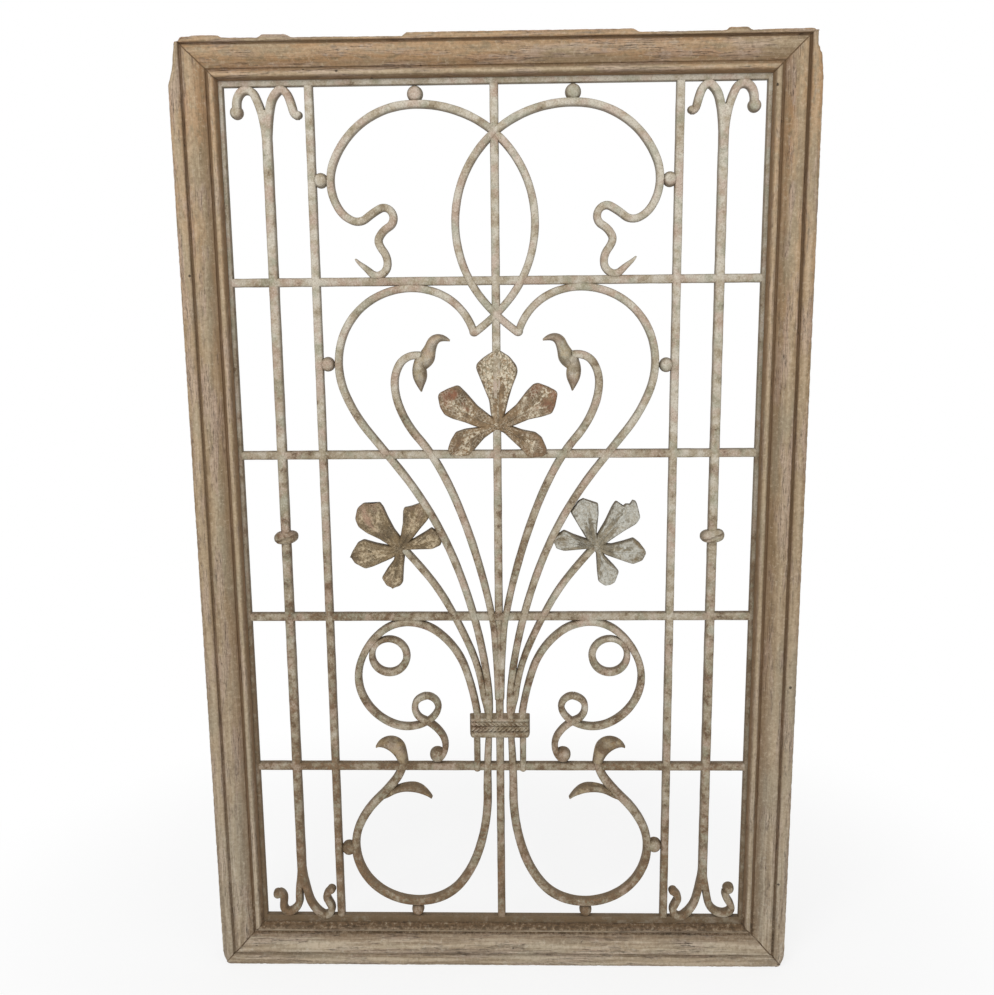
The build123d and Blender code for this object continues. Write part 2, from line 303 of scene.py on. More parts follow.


# %% [markdown]
# ## Old paint on cast iron
# The bars carry a greyish cream paint that has thinned and pitted, so brown rust shows in spots,
# a little more along the sides and more of it low down, and the colour darkens towards the bottom.
# One noise at three sizes decides where the paint holds. A value that each bar carries, 1 on its
# front and 0 at its sides, helps the paint hold on the fronts and paints shade on the sides.

# %% Painted iron
def painted_iron(name, tan=0.0):
    """Paint holds where patch / 2 + speck * 0.6 + broad * 0.3, plus a little for the front of a
    bar and for places high up or to the right, is above about 0.68. Tan is the share of tan and
    brown clouds on it."""
    finish = Finish(name)
    where = finish.place()
    front = finish.mark("front")
    higher = (finish.part_of(where, 2) - 0.75) * 0.5 + finish.part_of(where, 0) * 0.16
    broad = finish.noise(9, where, 3)
    patch = finish.noise(55, where, 5, 0.6)
    speck = finish.noise(190, where, 6, 0.7)
    fleck = finish.noise(430, where, 4, 0.7)
    hold = patch * 0.5 + speck * 0.6 + broad * 0.3 + front * 0.08 + higher * 0.3
    holds = hold.above(0.61, 0.74)
    paint = finish.coats(
        finish.ramp(
            broad * 0.4 + patch * 0.6 + higher * 0.2,
            (0.4, (134, 118, 93)), (0.5, (168, 155, 132)), (0.6, (197, 189, 173)),
        ),
        (finish.noise(27, where).above(0.48, 0.62) * 0.55, (178, 150, 134)),
        (finish.noise(33, where).above(0.5, 0.64) * 0.5, (142, 146, 124)),
        (fleck.above(0.48, 0.62) * 0.4, (112, 94, 66)),
        (finish.noise(330, where).above(0.52, 0.64) * 0.3, (222, 214, 198)),
    )
    rust = finish.ramp(
        patch * 0.5 + fleck * 0.5,
        (0.4, (88, 67, 46)), (0.5, (126, 98, 70)), (0.6, (150, 112, 78)),
    )
    coat = finish.coats(
        finish.mix(holds, rust, paint),
        # Painted shade: the sides of each bar, where the front mark falls, are darkened.
        ((1 - front**3).above(0.1, 1.0) * 0.68, (92, 76, 54)),
        # Darker towards the bottom and the left.
        ((-1 * higher).above(-0.2, 0.45) * 0.36, (108, 90, 64)),
    )
    if tan:
        clouds = finish.noise(62, where, 4)
        coat = finish.coats(
            coat,
            (clouds.above(0.46, 0.6) * tan, (176, 152, 112)),
            ((1 - clouds).above(0.46, 0.6) * tan, (104, 85, 60)),
        )
    height = holds * 0.5 + speck * 0.6 + patch * 0.5 + fleck * 0.35
    return finish.done(coat, 0.6 + 0.28 * speck, height, 0.0008)


bar_paint = painted_iron("bar_paint")
print("finishes:", len(bpy.data.materials))

# %% [markdown]
# ## Lines of the casting
# Scrolls like these can be drawn with a compass, as arcs that flow into each other. A knot gives
# a point of the line and the way it heads there in degrees, and two arcs with a common tangent
# join each pair of knots. Few knots then give a long, even curve. The points are worked out as
# complex numbers, across plus height times i, because a turn is then one product.

# %% Arcs through knots
def follow(knots, step=4.0):
    """Points and directions along the arcs.

    With turn the angle from an arc's first direction to its chord, a part s of the arc ends at
    start + chord length * sin(turn s) / sin(turn), in the direction that has turned by turn s.
    """
    table = np.array(knots, float)
    at = table[:, 0] + 1j * table[:, 1]
    way = np.exp(1j * np.radians(table[:, 2]))
    chord, leave, arrive = np.diff(at), way[:-1], way[1:]
    along = (np.conj(chord) * (leave + arrive)).real
    bend = 2 * (1 - (np.conj(leave) * arrive).real)
    curved = (np.sqrt(along**2 + bend * abs(chord) ** 2) - along) / np.maximum(bend, 1e-9)
    reach = np.where(bend < 1e-6, abs(chord) ** 2 / (2 * along), curved)
    joint = (at[:-1] + at[1:] + (leave - arrive) * reach) / 2
    starts = np.stack([at[:-1], joint], 1).ravel()
    spans = np.stack([joint, at[1:]], 1).ravel() - starts
    halfway = (spans[::2] / abs(spans[::2])) ** 2 * np.conj(leave)
    ways = np.stack([leave, halfway], 1).ravel()
    turn = np.angle(spans / ways)
    counts = np.maximum(2, np.ceil(abs(spans) / np.sinc(turn / pi) / step)).astype(int)
    arc = np.repeat(np.arange(len(spans)), counts)
    part = (np.arange(counts.sum()) - (np.cumsum(counts) - counts)[arc]) / counts[arc]
    share = part * np.sinc(turn[arc] * part / pi) / np.sinc(turn[arc] / pi)
    points = starts[arc] + abs(spans[arc]) * share * ways[arc] * np.exp(1j * turn[arc] * part)
    heads = ways[arc] * np.exp(2j * turn[arc] * part)
    return np.append(points, at[-1]), np.append(heads, way[-1])


def straight(start, end, step=8.0):
    """Points and directions along a straight line."""
    start, end = complex(*start), complex(*end)
    count = int(np.ceil(abs(end - start) / step)) + 1
    return np.linspace(start, end, count), np.full(count, (end - start) / abs(end - start))


def mirrored(line):
    """The same line on the other side of the middle."""
    points, ways = line
    return -np.conj(points), -np.conj(ways)


def lengths_along(points):
    return np.concatenate([[0], np.cumsum(abs(np.diff(points)))])


# %% [markdown]
# ## Bars
# A cast bar is flat at the back, as from an open mould, and rounded in front. Its section is
# half of a squashed oval. Two powers of a sine and a cosine give that in one line, which is
# simpler than arcs with fillets, and the power says how square the shoulders are.

# %% A cast bar
CASTING_BACK = 33
backs = np.random.default_rng(3)


def flat_back():
    """The plane of one skin's back. Each has its own, for skins that cross in one plane flicker."""
    return CASTING_BACK - backs.uniform(0, 0.5)


def bar(line, width=12.0, height=13.0, loop=False, seed=0, square=0.5, pale=1.0):
    """Half ovals square to a line: across = half width * cos^square, front = height * sin^square.
    Pale below 1 lowers the front mark, so the whole bar gets more painted shade and a little more
    rust."""
    points, ways = line
    run = lengths_along(points)
    turn = np.linspace(0, pi, 13)
    across = np.sign(np.cos(turn)) * abs(np.cos(turn)) ** square
    front = np.clip(np.sin(turn), 0, 1) ** square
    uneven = 1 + 0.035 * waver(run, seed) * (0 if loop else 1)
    half = np.broadcast_to(width, points.shape) / 2 * uneven
    tall = np.broadcast_to(height, points.shape)
    flat = points[:, None] + (1j * ways * half)[:, None] * across
    depth = flat_back() - tall[:, None] * front
    rings = np.stack([flat.real, depth, flat.imag], -1)
    return skin(rings, loop, front=np.broadcast_to(front * pale, flat.shape))


def both(line, **sizes):
    """The bar and its mirror image."""
    seed = sizes.pop("seed", 1)
    return [bar(line, seed=seed, **sizes), bar(mirrored(line), seed=seed + 50, **sizes)]


# %% [markdown]
# ## Edge bar, crossbars and uprights
# The casting's flat edge bar lies behind the timber and shows as a thin line inside it. The
# crossbars end in it, and the uprights stand a millimetre in front of the crossbars.

# %% Edge bar and the grid
OPENING = (402, 80.3, 1427.4)
CROSSBARS = (351.8, 610.7, 875.7, 1143)
EDGE_BAR = (417.5, 59.5, 1445.5)
UPRIGHT = 275
OUTER_UPRIGHT = 340
BAR_ENDS = (403, 79, 1428)  # across, foot and top: a little way into the edge bar


def edge_bar():
    """A flat oblong ring: at each corner of the oblong one section, and the rings loop. Its front
    mark stays low, for a painted shade from the timber lip over it and dirt, and is lowest at the
    foot, so it is darker low down."""
    corners = np.array([(-1, 0), (1, 0), (1, 1), (-1, 1)])
    section = np.array([(0, 0), (0, 10), (0.07, 11), (0.93, 11), (1, 10), (1, 0)])
    inner = np.stack([corners[:, 0] * OPENING[0], np.take(OPENING[1:], corners[:, 1])], -1)
    outer = np.stack([corners[:, 0] * EDGE_BAR[0], np.take(EDGE_BAR[1:], corners[:, 1])], -1)
    flat = inner[:, None] + (outer - inner)[:, None] * section[:, :1]
    depth = np.broadcast_to(CASTING_BACK - section[:, 1], flat.shape[:2])
    rings = np.stack([flat[..., 0], depth, flat[..., 1]], -1)
    # Painted shade with dirt: a lower front mark darkens the edge bar, most at the bottom.
    front = (section[:, 1] > 10.5) * np.array([0.5, 0.5, 0.8, 0.8])[:, None]
    return skin(rings, loop=True, front=front)


reach, foot, top = BAR_ENDS
grid = [edge_bar()]
for number, level in enumerate(CROSSBARS):
    line = straight((-reach, level), (reach, level))
    # Painted shade: a lower front mark darkens the crossbars as a whole.
    grid.append(bar(line, 13.5, 11, seed=number, square=0.38, pale=0.88))
for number, across in enumerate((-UPRIGHT, 0, UPRIGHT)):
    line = straight((across, foot), (across, top))
    behind_stems = np.interp(line[0].imag, (540, 600, 660, 720), (12, 8, 8, 12))
    grid.append(bar(line, 13, 12 if across else behind_stems, seed=10 + number, square=0.42))
grid += both(straight((OUTER_UPRIGHT, 132), (OUTER_UPRIGHT, 1394)), width=15, height=12.5, seed=20)
make_piece("bars", grid, bar_paint)

# %% [markdown]
# ## Scrolls, hearts and stems
# The lines follow the CAD model, and the stems run on down to the tie. On the right the scroll's
# bar runs in front of the left one, where they cross at the top of the oval and at its foot.

# %% Scrolls and stems
SCROLL_AND_OVAL = [
    (213, 1177, -125), (203, 1167, -142), (176, 1153, 158), (171, 1189, 52), (176, 1209, 118),
    (154, 1240, 79), (174, 1251, -28), (216, 1234, 22), (245, 1272, 76), (213, 1362, 135),
    (43, 1386, -157), (-20, 1114, -51), (34, 1064, -36),
]
HEART = [
    (34, 1063, 75), (192, 1115, -32), (236, 971, -112), (157, 855, -128), (20, 503, -97),
    (17, 448, -89),
]
BUD_STEM = [
    (117, 1030, 12), (151, 1016, -60), (153, 953, -109), (90, 852, -118), (40, 727, -107),
    (11.5, 611, -100), (5.5, 545, -93), (3.5, 470, -90.5),
]
FLOWER_STEM = [(156, 729, -132), (84, 634, -119), (27, 481, -97), (20, 448, -98)]
SMALL_SCROLL = [
    (37, 444, 82), (99, 584, 38), (191, 585, -40), (225, 475, -113), (116, 433, 146),
    (104, 466, 58), (121, 475, -4),
]
SMALL_SCROLL_END = [(121, 475, -11), (139, 461, -74), (97, 410, -124), (99, 367, -47)]
BIG_SCROLL = [
    (18, 410, -86), (38, 197, -72), (113, 110, -16), (245, 195, 83), (205, 293, 135),
    (161, 362, 97),
]


def tapered(line, width, tip, length, from_start=True):
    """Widths along a line that narrow to the tip over the given length."""
    run = lengths_along(line[0])
    run = run if from_start else run[-1] - run
    return tip + (width - tip) * np.clip(run / length, 0, 1) ** 0.7


scroll = follow(SCROLL_AND_OVAL, 3)
scroll_width = tapered(scroll, 12, 2, 36)
scrolls = [bar(mirrored(scroll), scroll_width, 13, seed=31), bar(scroll, scroll_width, 14, seed=32)]
scrolls += both(follow(HEART), seed=33)
make_piece("scrolls_and_hearts", scrolls, bar_paint)

bud_line = follow(BUD_STEM)
stems = both(bud_line, width=tapered(bud_line, 12.4, 8.5, 260, from_start=False), seed=34)
stems += both(follow(FLOWER_STEM), width=11, seed=35)
for number, (start, end, width) in enumerate((
    ((38, 346), (38, 408), 10.5), ((37.2, 446), (37, 431), 11.5), ((17.2, 449), (17.6, 431), 11.5),
)):
    stems += both(straight(start, end), width=width, seed=36 + number)
make_piece("stems", stems, bar_paint)

small_line = follow(SMALL_SCROLL, 3)
small_width = tapered(small_line, 12, 10, 160, from_start=False)
lower = both(small_line, width=small_width, seed=37)
lower += both(follow(SMALL_SCROLL_END, 3), width=10.5, height=14, seed=38)
big_line = follow(BIG_SCROLL)
lower += both(big_line, width=tapered(big_line, 14, 10, 100), seed=39)
make_piece("lower_scrolls", lower, bar_paint)

# %% [markdown]
# ## Rings, balls and collars
# Balls join the casting where a scroll comes close to another bar. Each is a low dome with a flat
# back: rings that shrink towards its top, on the same half-oval rule as the bars. The two hanging
# rings are bars whose line closes on itself.

# %% Domes
def dome(across, up, radius, height, squash=1.0):
    """Rings about an axis to the front: radius * cos^0.6 of an angle, at height * sin^0.8 of it."""
    angle = np.concatenate([[0], np.linspace(0.08, pi / 2 - 0.1, 9)])[:, None]
    round_it = np.linspace(0, 2 * pi, 24, endpoint=False)[None, :]
    reach = radius * np.cos(angle) ** 0.6
    depth = flat_back() - height * np.sin(angle) ** 0.8 + 0 * round_it
    x, z = across + reach * np.cos(round_it), up + squash * reach * np.sin(round_it)
    # Painted shade: the front mark falls to 0 at the dome's rim, which darkens its sides.
    front = np.broadcast_to(np.sin(angle), x.shape)
    return skin(np.stack([x, depth, z], -1), front=front)


def both_domes(across, up, radius, height, squash=1.0):
    return [dome(side * across, up, radius, height, squash) for side in (-1, 1)]


# %% Rings and collars
RING_CENTRE, RING_RADIUS = 179.5 + 544.2j, 28.4
COLLAR_LEVEL = 743


def hanging_ring():
    """A closed line: centre + radius * e^(i angle), its bar a little wider at the foot."""
    angle = np.linspace(0, 2 * pi, 60, endpoint=False)
    points = RING_CENTRE + RING_RADIUS * np.exp(1j * angle)
    width = 11 - 1.5 * np.sin(angle) - 0.8 * np.cos(angle)
    return points, 1j * np.exp(1j * angle), width


def collar(side):
    """A knotted collar: one barrel 20 mm tall that leans, with the groove of a slanted wrap."""
    z = np.linspace(-10, 10, 41)
    swell = np.clip(1 - (abs(z) / 10) ** 2.6, 0, 1) ** 0.5
    line = side * OUTER_UPRIGHT + 1j * (COLLAR_LEVEL + z), np.full(z.shape, 1j)
    points, faces, marks = bar(line, 12 + 26 * swell, 11 + 7.5 * swell, seed=60, square=0.6)
    across = points[:, 0] - side * OUTER_UPRIGHT
    wrap = bell(points[:, 2] - (COLLAR_LEVEL - 1), 0.3 * across, 1.7)
    points[:, 1] += 2.2 * wrap * (points[:, 1] < CASTING_BACK - 8)
    points[:, 2] += 0.07 * across
    # Painted shade in the groove of the wrap: the front mark falls there.
    marks["front"] = marks["front"] * (1 - 0.45 * wrap[:, None])
    return points, faces, marks


*ring, ring_width = hanging_ring()
small = [
    bar(line, ring_width, 13, loop=True, seed=40 + number)
    for number, line in enumerate((ring, mirrored(ring)))
]
small += [collar(-1), collar(1)]
for spot in (
    (117, 1415, 12, 15), (143, 90, 10.5, 15), (104, 372, 13, 16), (34, 1066, 7.5, 13.6),
    (38, 349, 7, 12.5),
):
    small += both_domes(*spot)
for spot in (
    (-262, 1293, 11), (262, 1289, 11), (-262, 1018, 11), (262, 1013, 11), (-257.5, 203, 12),
    (257.5, 210, 12),
):
    small.append(dome(*spot, 15, squash=1.04))
make_piece("rings_balls_and_collars", small, bar_paint)

# %% [markdown]
# ## Curls of the outer uprights
# Each outer upright splits at both ends into two curls, and a groove stays between them where
# they part. They are bars like the scrolls, and a low dome rounds off each free end.

# %% Curls
CURLS = [  # sides (-1 left, 1 right), knots, and the dome at the free end
    ((-1, 1), [(341.5, 1330, 90), (344, 1380, 80), (377, 1419, -48), (383, 1397, -97)],
     (384, 1392, 10)),
    ((-1, 1), [(338.5, 1330, 90), (336.5, 1380, 96), (320, 1422, 141), (305, 1413, -112),
               (299, 1393, -104), (292, 1387, 165)], (291.5, 1387.5, 5.8)),
    ((-1,), [(341.5, 190, -90), (343.5, 142, -81), (362, 85, -20), (374, 97, 93), (373, 111, 86),
             (380, 120, 5)], (383, 117.5, 8)),
    ((1,), [(341.5, 190, -90), (343.5, 142, -81), (371, 86, -12), (389, 99, 108), (380, 117, 110),
            (380, 126, 75)], (384, 131, 9.5)),
    ((-1, 1), [(338.5, 190, -90), (336, 145, -99), (314, 86, -135), (302, 79, 180),
               (291, 91, 92), (296, 105, 64), (299, 114, 98), (291, 125.5, 150)],
     (290.5, 126, 7.3)),
]
curls = []
for number, (sides, knots, (across, up, radius)) in enumerate(CURLS):
    line = follow(knots, 3)
    widths = tapered(line, 12.5, 8.4 if up < 200 else 9, 50)
    for side in sides:
        this_line = line if side > 0 else mirrored(line)
        curls.append(bar(this_line, widths, 13.5, seed=70 + number + side))
        curls.append(dome(side * across, up, radius, 14))
make_piece("curls", curls, bar_paint)

# %% [markdown]
# ## Blades
# Petals, leaves and bud lobes are all thin shapes with two edges that run from a root to a tip.
# A station s along both edges and a place v across, from -1 to 1, give a grid, and the height is
# a formula in s and v. The edges come from the photograph, and the relief from the formula.

# %% A blade between two edges
def evenly(points, count, smooth=3):
    """Points at equal lengths along a run of points, with the corners eased."""
    run = lengths_along(points)
    at = np.linspace(0, run[-1], count)
    even = np.interp(at, run, points.real) + 1j * np.interp(at, run, points.imag)
    for _ in range(smooth):
        even[1:-1] = (even[:-2] + 2 * even[1:-1] + even[2:]) / 4
    return even


def blade(left, right, relief, count=56, wide=25, thin=4.0):
    """Grid across two edges: point = left (1 - v) / 2 + right (1 + v) / 2, front = relief(s, v),
    and the last few millimetres at each edge roll over as a quarter oval."""
    s = np.linspace(0, 1, count)[:, None]
    v = -np.cos(np.linspace(0, pi, wide))[None, :]
    left, right = evenly(left, count)[:, None], evenly(right, count)[:, None]
    flat = left * (1 - v) / 2 + right * (1 + v) / 2
    half = np.maximum(abs(right - left) / 2, 0.6)
    inside = np.clip(half * (1 - abs(v)) / np.minimum(thin, half), 0, 1)
    roll = np.sqrt(1 - (1 - inside) ** 2)
    height, marks = relief(s, v)
    front = 3 + (height - 3) * roll
    flat = np.concatenate([flat, flat[:, -1:], flat[:, :1]], 1)
    back = np.zeros((count, 2))
    rings = np.stack([flat.real, flat_back() - np.concatenate([front, back], 1), flat.imag], -1)
    # The marks fall to 0 where the edge rolls over, so the front mark paints shade on the edges.
    marks = {name: np.concatenate([value * roll, back], 1) for name, value in marks.items()}
    return skin(rings, **marks)


def smooth_step(value, low, high):
    part = np.clip((value - low) / (high - low), 0, 1)
    return part * part * (3 - 2 * part)


# %% [markdown]
# ## Flowers
# Each petal is dished, with a raised rim, a midrib and fine side veins. No two have the same
# outline, and some end in a point, others in a shallow notch. The veins are ridges along the
# crests of a wave in s and v, so one formula draws all of them. The paint survived on the
# ridges, so the height also drives the finish.

# %% Petals
def petal_relief(seed, cream, red):
    """Heights in s and v: 13.1 + rim + midrib + side veins - dish. The cream paint holds past
    the root, and up to the tip if cream is 1. Red rust starts past the middle."""
    chance = np.random.default_rng(seed)
    shift, lean = chance.uniform(0, 6), chance.uniform(0.8, 1.2)

    def relief(s, v):
        opened = smooth_step(s, 0.15, 0.5)
        rim = bell(abs(v), 1, 0.13) + bell(s, 1, 0.06)
        rib = bell(v, 0, 0.07) * (1 - smooth_step(s, 0.6, 0.98))
        wave = s * 22 * lean - abs(v) * 8 + shift + 1.2 * np.sin(5 * v + shift)
        vein = np.clip(np.cos(wave), 0, 1) ** 6 * np.clip(1 - v * v, 0, 1) * opened
        fan = np.clip(np.cos(v * 13 + shift + 3 * np.sin(7 * s)), 0, 1) ** 8 * opened * (1 - abs(v))
        dish = opened * np.clip(1 - v * v, 0, 1) * np.sin(pi * np.clip(s, 0, 1)) ** 0.5
        height = 13.1 + 1.2 * rim * opened + 2.0 * rib + 1.1 * vein + 0.9 * fan - 2.6 * dish
        front = 0.5 + 0.1 * rim + 0.5 * rib + 0.5 * vein + 0.5 * fan
        wander = 0.16 * np.sin(4 * v + shift) + 0.1 * np.sin(9 * v - shift)
        held = smooth_step(s + wander, 0.22, 0.62) * (1 - 0.5 * v**4)
        worn_tip = np.clip(2 - 2 * cream, 0, 1) * smooth_step(s + wander, 0.62, 0.95)
        marks = {
            "front": np.clip(front + 0 * v, 0, 1),
            "cream": cream * held * (1 - worn_tip),
            "red": red * smooth_step(s + wander, 0.45, 0.85),
        }
        return height + 0 * v, marks

    return relief


def petal(centre, edge, tip, cream, red, seed, root=6.5):
    """A petal from its outline: the points up to the tip are one edge, the rest the other."""
    outline = np.array([x + 1j * z for x, z in edge])
    way = outline[tip] - centre
    sideways = 1j * way / abs(way) * root
    if ((outline[0] - centre) * np.conj(sideways)).real < 0:
        sideways = -sideways
    left = np.concatenate([[centre + sideways], outline[: tip + 1]])
    right = np.concatenate([[centre - sideways], outline[: tip - 1 : -1]])
    return blade(left, right, petal_relief(seed, cream, red), count=72, wide=41)


# %% Petal finish
def petal_paint(name, pale, dull, tip, pitted):
    """Pale paint that fades into a dull brown, and holds on the ridges and in fine cracks. Where
    the front mark is low, at the rolled edges, a painted shade darkens it. The tone of the tip lies
    where the petal is marked red. Pitted is how uneven it all is, 0 to 1."""
    finish = Finish(name)
    where = finish.place()
    front, cream, red = finish.mark("front"), finish.mark("cream"), finish.mark("red")
    patch = finish.noise(48, where, 5, 0.6)
    speck = finish.noise(240, where, 6, 0.7)
    uneven = (speck - 0.5) * 1.3 + (patch - 0.5) * 2.2
    hold = cream * 0.8 + (front - 0.58) * 0.9 + uneven * (0.4 + 0.6 * pitted)
    holds = hold.above(0.08, 0.62)
    darker, lighter = np.outer((0.76, 1.2), dull)
    paint = finish.mix(speck.above(0.4, 0.58) * pitted + (1 - pitted), lighter, pale)
    veins = finish.cells(105, finish.warped(where, 45, 0.02)).above(0.12, 0.0)
    vein_share = veins * cream.above(0.5, 0.9) * (0.85 * pitted**2)
    paint = finish.mix(vein_share, paint, (100, 88, 60))
    brown = finish.ramp(patch * 0.6 + speck * 0.4, (0.4, darker), (0.5, dull), (0.6, lighter))
    crackle = finish.cells(210, finish.warped(where, 90, 0.01)).above(0.14, 0.0)
    crackle = crackle * finish.noise(44, where).above(0.42, 0.6)
    fleck = finish.noise(400, where, 3).above(0.5, 0.64)
    coat = finish.coats(
        finish.mix(holds * 0.95, brown, paint),
        (finish.noise(40, where, 4).above(0.4, 0.58) * red, tip),
        (crackle * (0.5 * pitted), pale),
        (fleck * (0.5 * pitted), (94, 80, 54)),
        # Painted shade: dark brown where the front mark is low, at the edges and in the hollows.
        ((1 - front).above(0.48, 0.9) * 0.85, (78, 64, 44)),
    )
    height = holds * 0.6 + speck * 0.6 + patch * 0.5
    return finish.done(coat, 0.62 + 0.28 * speck, height, 0.001)


red_petals = petal_paint("red_petals", (214, 203, 180), (124, 101, 73), (136, 84, 60), 1.0)
brown_petals = petal_paint("brown_petals", (190, 173, 144), (112, 94, 67), (180, 146, 124), 0.9)
grey_petals = petal_paint("grey_petals", (192, 191, 182), (126, 116, 96), (118, 100, 70), 0.6)


# %% Outlines of the petals
# Each petal: points round it, the number of the point at its tip, and its cream and red.
CENTRE_FLOWER = (2 + 921j, [
    ([(-10, 940), (-12, 960), (-20, 980), (-28, 1000), (-32, 1010), (-31, 1017), (-20, 1027),
      (1, 1040), (20, 1028), (31, 1014), (33, 1006), (32, 1000), (24, 980), (18, 960), (13, 940)],
     7, 1.0, 0.0),
    ([(-10, 936), (-30, 952), (-47, 972), (-58, 983), (-62, 984), (-76, 979), (-90, 972),
      (-92, 967), (-89, 950), (-82, 938), (-70, 932), (-50, 926), (-33, 919)], 5, 0.4, 0.8),
    ([(12, 938), (30, 953), (47, 975), (57, 985), (64, 987), (80, 981), (93, 974), (95, 970),
      (91, 950), (86, 939), (70, 934), (50, 930), (26, 920)], 5, 0.42, 0.55),
    ([(-33, 918), (-50, 916), (-65, 911), (-73, 898), (-78, 884), (-74, 876), (-58, 872),
      (-43, 874), (-33, 886), (-20, 901), (-6, 911)], 5, 0.4, 0.1),
    ([(26, 919), (40, 914), (60, 910), (70, 902), (77, 886), (79, 878), (72, 871), (50, 869),
      (45, 874), (36, 885), (20, 900), (12, 908)], 5, 0.35, 0.15),
])
LEFT_FLOWER = (-157 + 725j, [
    ([(-175, 730), (-190, 740), (-210, 750), (-223, 760), (-228, 773), (-224, 790), (-213, 799),
      (-200, 796), (-188, 800), (-182, 792), (-175, 775), (-165, 755), (-156, 743)], 7, 0.5, 0.7),
    ([(-175, 729), (-195, 733), (-215, 739), (-225, 734), (-235, 718), (-237, 712), (-230, 700),
      (-213, 691), (-200, 695), (-170, 708)], 5, 0.6, 0.1),
    ([(-168, 705), (-178, 692), (-188, 676), (-181, 664), (-170, 659), (-158, 663), (-154, 668),
      (-152, 695), (-150, 710)], 4, 0.55, 0.1),
    ([(-140, 722), (-105, 723), (-92, 729), (-90, 735), (-95, 750), (-106, 758), (-115, 752),
      (-135, 740)], 4, 0.6, 0.1),
    ([(-135, 742), (-125, 755), (-113, 769), (-109, 775), (-107, 785), (-120, 799), (-132, 795),
      (-140, 792), (-149, 791), (-151, 785), (-152, 765), (-156, 745)], 6, 0.42, 0.25),
])
RIGHT_FLOWER = (157 + 727j, [
    ([(157, 745), (170, 768), (180, 790), (186, 800), (190, 799), (196, 789), (203, 796),
      (208, 793), (213, 801), (219, 799), (222, 789), (226, 773), (220, 763), (200, 751),
      (180, 737)], 8, 1.0, 0.1),
    ([(180, 730), (200, 735), (215, 740), (225, 732), (234, 720), (236, 715), (230, 703),
      (215, 697), (200, 702), (172, 712)], 4, 0.8, 0.9),
    ([(156, 715), (158, 685), (160, 669), (170, 662), (179, 665), (187, 668), (193, 685),
      (185, 695), (170, 711)], 4, 1.0, 0.0),
    ([(140, 739), (120, 746), (105, 753), (93, 745), (88, 735), (93, 723), (105, 719),
      (142, 722)], 4, 0.8, 0.7),
    ([(157, 748), (160, 780), (159, 796), (150, 799), (135, 804), (127, 800), (124, 795),
      (115, 782), (125, 765), (139, 741)], 4, 1.0, 0.0),
])


def flower(name, centre, petals, seed, finish):
    shells = [
        petal(centre, edge, tip, cream, red, seed + number)
        for number, (edge, tip, cream, red) in enumerate(petals)
    ]
    points, faces, marks = dome(centre.real, centre.imag, 8.5, 15)
    # Painted shade: the flower's middle dome gets a lower front mark, so it is darker.
    shells.append((points, faces, {"front": marks["front"] * 0.66}))
    make_piece(name, shells, finish)


flower("flower_centre", *CENTRE_FLOWER, 80, red_petals)
flower("flower_left", *LEFT_FLOWER, 90, brown_petals)
flower("flower_right", *RIGHT_FLOWER, 100, grey_petals)

# %% [markdown]
# ## Leaves and buds
# The leaves at the end of each large scroll are smooth and swell in the middle, and the bud on
# its bent stem has two lobes with a light ridge. Their edges are arcs, as in the CAD model.

# %% Leaves and bud lobes
LEAVES = [
    ([(152, 344, 88), (181, 403.5, 0), (207, 386, -68)], [(169, 350, 86), (204.5, 384.5, -2)]),
    ([(184, 312, 158), (147, 321.5, 180), (114, 296, -118)],
     [(204, 287, 150), (160, 306.5, 178), (117, 293.5, -150)]),
]
BUD_LOBES = [
    ([(121, 1027, 100), (108, 1051, 113), (92, 1063, 175), (71.5, 1054, -130)],
     [(109, 1009, 150), (95, 1028, 95), (91, 1046.5, 112), (72, 1051.5, 185)]),
    ([(125, 1030, -70), (131, 1004, -92), (118.5, 974.5, -125)],
     [(110, 1024, -70), (108, 1002, -92), (116.5, 974.5, -72)]),
]


def swollen(low, high, ridge=0.0):
    """Heights low at the edges and high along the middle, lower again at the root and tip."""

    def relief(s, v):
        body = np.clip(1 - abs(v) ** 2.2, 0, 1) ** 0.6
        along = (0.6 + 0.4 * smooth_step(s, 0, 0.22)) * (1 - 0.35 * smooth_step(s, 0.5, 1))
        line = ridge * bell(v, 0, 0.16) * np.sin(pi * np.clip(s, 0, 1))
        height = (low + (high - low) * body) * along + line
        # Painted shade: the front mark is low at the edges, which darkens them.
        return height, {"front": np.clip(0.15 + 0.75 * body + line * 0.3, 0, 1)}

    return relief


def leaf_pair(edge, other, relief):
    edges = follow(edge, 2), follow(other, 2)
    pairs = edges, [mirrored(line) for line in edges]
    return [blade(left[0], right[0], relief, 44, 17) for left, right in pairs]


leaves = []
for edge, other in LEAVES:
    leaves += leaf_pair(edge, other, swollen(9, 14.5))
for top, (edge, other) in zip((17.5, 14), BUD_LOBES):
    leaves += leaf_pair(edge, other, swollen(9, top, ridge=1.4))
leaves += both_domes(118, 1023, 8.5, 14)
make_piece("leaves_and_buds", leaves, painted_iron("leaf_paint", tan=0.34))

# %% [markdown]
# ## The tie
# A collar binds the stems. They run in over its low top edge and end at a thin band. Under it are
# two rows of twisted cord and a thicker roll. The cord is a roll whose height rises and falls
# along slanted lines, which is a wave in x + z on one grid.

# %% Tie
TIE_HALF, TIE_FOOT, TIE_TOP, TIE_MIDDLE = 49.5, 404.5, 447, 425.7
CORD_PITCH = 7.4
TIE_ROLLS = [  # middle, half width, top, twist
    (435, 2.6, 15.6, 0.0), (428.6, 3.8, 16.8, 1.0), (420, 4.8, 17.8, -1.0), (410, 5.4, 18.2, 0.35),
]


